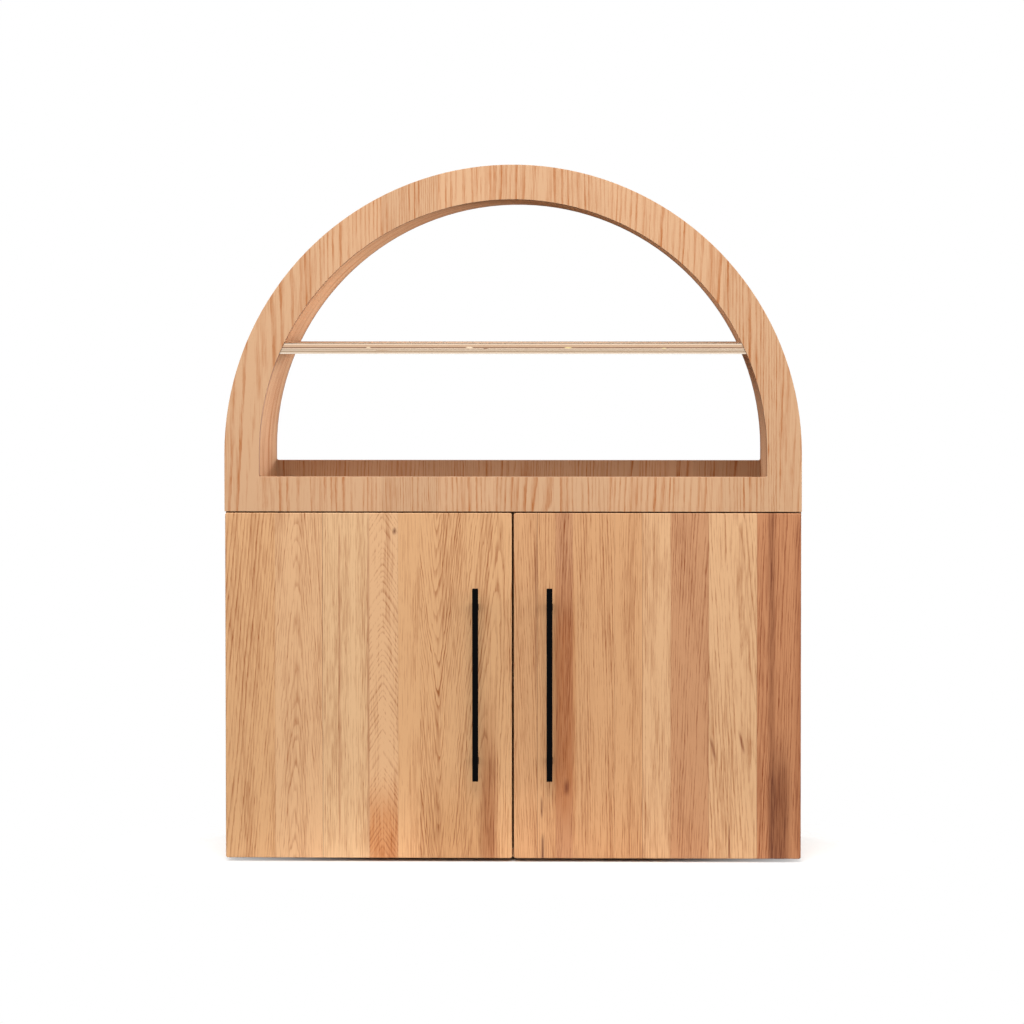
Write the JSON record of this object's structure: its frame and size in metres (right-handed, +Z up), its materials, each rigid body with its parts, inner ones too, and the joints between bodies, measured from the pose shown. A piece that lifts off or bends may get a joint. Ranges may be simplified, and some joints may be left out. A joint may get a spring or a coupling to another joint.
{
  "type": "arched oak cabinet",
  "caption": "Free-standing oak cabinet: an open arch with a plywood shelf over a cupboard with a pair of hinged doors and long black bar handles.",
  "frame": {"origin": "middle of the whole box on the floor, under the glides, with the door handles counted in", "axes": "+Z up, the doors face -Y, +X to the right for someone who stands before the doors"},
  "size_m": [1.2, 0.385, 1.451],
  "materials": {
    "oak_veneer": "satin lacquered veneer",
    "oak_staves": "oiled solid oak staves",
    "raw_plywood": "raw plywood edge",
    "softwood": "sawn softwood",
    "beech_dowel": "turned beech",
    "black_steel": "matt black powder coat",
    "nickel_steel": "nickel-plated pressed steel",
    "zinc_steel": "bright zinc",
    "glide_plastic": "moulded black",
    "clear_rubber": "soft translucent"
  },
  "bodies": {
    "cabinet": {"arch_blocks": "softwood", "arch_inner_lining": "oak_veneer", "arch_outer_skin": "oak_veneer", "back_arch_panel": "oak_veneer", "back_panel_screws": "zinc_steel", "base_back_panel": "oak_veneer", "base_bottom_board": "oak_veneer", "base_top_board": "oak_veneer", "carcass_dowels": "beech_dowel", "floor_glides": "glide_plastic", "front_arch_panel": "oak_veneer", "hutch_floor_board": "oak_veneer", "hutch_floor_dowels": "beech_dowel", "hutch_screws": "zinc_steel", "inner_shelf": "oak_veneer", "inner_shelf_pins": "nickel_steel", "left_arm_screws": "zinc_steel", "left_hinge_arms": "nickel_steel", "left_hinge_plates": "nickel_steel", "left_plate_screws": "zinc_steel", "left_side_panel": "oak_veneer", "plywood_shelf": "raw_plywood", "right_arm_screws": "zinc_steel", "right_hinge_arms": "nickel_steel", "right_hinge_plates": "nickel_steel", "right_plate_screws": "zinc_steel", "right_side_panel": "oak_veneer", "shelf_dowels": "beech_dowel"},
    "left_leaf": {"left_door": "oak_staves", "left_handle_bar": "black_steel", "left_handle_posts": "black_steel", "left_handle_screws": "zinc_steel", "left_door_bumpers": "clear_rubber", "left_hinge_cups": "nickel_steel", "left_hinge_pins": "nickel_steel", "left_cup_screws": "zinc_steel"},
    "right_leaf": {"right_door": "oak_staves", "right_handle_bar": "black_steel", "right_handle_posts": "black_steel", "right_handle_screws": "zinc_steel", "right_door_bumpers": "clear_rubber", "right_hinge_cups": "nickel_steel", "right_hinge_pins": "nickel_steel", "right_cup_screws": "zinc_steel"}
  },
  "joints": [
    {"name": "left_door_swing", "type": "hinge", "parent": "cabinet", "child": "left_leaf", "pos_m": [-0.592, -0.1455, 0.368], "axis": [0, 0, -1], "range_deg": [0, 105]},
    {"name": "right_door_swing", "type": "hinge", "parent": "cabinet", "child": "right_leaf", "pos_m": [0.592, -0.1455, 0.368], "axis": [0, 0, 1], "range_deg": [0, 105]}
  ]
}
